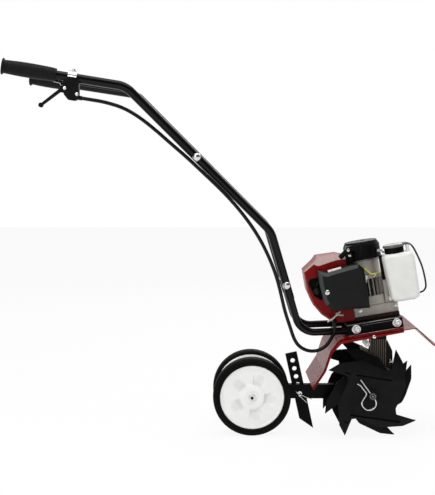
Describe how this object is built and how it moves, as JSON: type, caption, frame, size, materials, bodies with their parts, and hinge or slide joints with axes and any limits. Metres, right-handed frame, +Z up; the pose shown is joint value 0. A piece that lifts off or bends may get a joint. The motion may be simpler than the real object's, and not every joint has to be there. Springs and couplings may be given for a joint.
{
  "type": "mini tiller",
  "caption": "Two-wheeled garden cultivator: engine over a worm-driven rotor of folded star tines, red guard, drag stake and long splayed handles.",
  "frame": {"origin": "on the ground, at the middle of the overall box in plan", "axes": "+X forwards from the grips to the tines, +Y to the machine's left, +Z up"},
  "size_m": [1.0876, 0.4856, 0.9639],
  "materials": {
    "black_tube": "gloss black paint on steel tube",
    "black_paint": "satin black paint",
    "red_paint": "gloss red paint on steel sheet",
    "red_plastic": "gloss red moulded plastic",
    "charcoal_plastic": "charcoal moulded plastic, fine grain",
    "black_plastic": "black moulded plastic",
    "white_plastic": "white moulded plastic",
    "tank_plastic": "milky translucent polyethylene",
    "tine_paint": "satin dark grey paint on steel plate",
    "cast_grey": "sand-blasted cast aluminium",
    "cast_dark": "dark brown-grey painted casting",
    "steel": "bare steel sheet",
    "zinc": "bright zinc plate",
    "tyre": "black rubber",
    "grip_rubber": "black ribbed rubber",
    "boot_rubber": "black rubber",
    "cable_sheath": "black sheath",
    "hose_rubber": "black rubber hose"
  },
  "bodies": {
    "chassis": {"wheel_axle": "zinc", "handle_crossbar": "black_tube", "throttle_housing": "black_plastic", "throttle_lever": "black_plastic", "throttle_cable": "cable_sheath", "cable_stop": "zinc", "engine_frame": "black_paint", "tine_guard": "red_paint", "gearbox": "cast_dark", "clutch_housing": "cast_grey", "wheel_bracket": "black_paint", "drag_stake": "black_paint", "stake_pin": "zinc", "crankcase": "cast_grey", "recoil_starter": "black_plastic", "starter_handle": "black_plastic", "cylinder_shroud": "red_plastic", "cylinder": "cast_grey", "spark_plug_boot": "boot_rubber", "muffler_guard": "charcoal_plastic", "muffler": "steel", "fuel_tank": "tank_plastic", "fuel_cap": "black_plastic", "fuel_line": "hose_rubber", "carburettor": "cast_grey", "air_filter": "black_plastic", "upper_handle_right": "black_tube", "upper_handle_left": "black_tube", "middle_handle_right": "black_tube", "middle_handle_left": "black_tube", "lower_handle_right": "black_tube", "lower_handle_left": "black_tube", "grip_right": "grip_rubber", "grip_left": "grip_rubber"},
    "tine_rotor": {"tine_shaft": "zinc", "outer_tine_right": "tine_paint", "outer_tine_left": "tine_paint", "inner_tine_right": "tine_paint", "inner_tine_left": "tine_paint", "tine_clip_right": "zinc", "tine_clip_left": "zinc"},
    "wheel_right": {"tyre_right": "tyre", "wheel_hub_right": "white_plastic"},
    "wheel_left": {"tyre_left": "tyre", "wheel_hub_left": "white_plastic"}
  },
  "joints": [
    {"name": "tine_spin", "type": "hinge", "parent": "chassis", "child": "tine_rotor", "pos_m": [0.37978, 0, 0.11345], "axis": [0, 1, 0], "continuous": true},
    {"name": "wheel_right_spin", "type": "hinge", "parent": "chassis", "child": "wheel_right", "pos_m": [0.07248, -0.063, 0.1016], "axis": [0, 1, 0], "continuous": true},
    {"name": "wheel_left_spin", "type": "hinge", "parent": "chassis", "child": "wheel_left", "pos_m": [0.07248, 0.063, 0.1016], "axis": [0, 1, 0], "continuous": true}
  ]
}
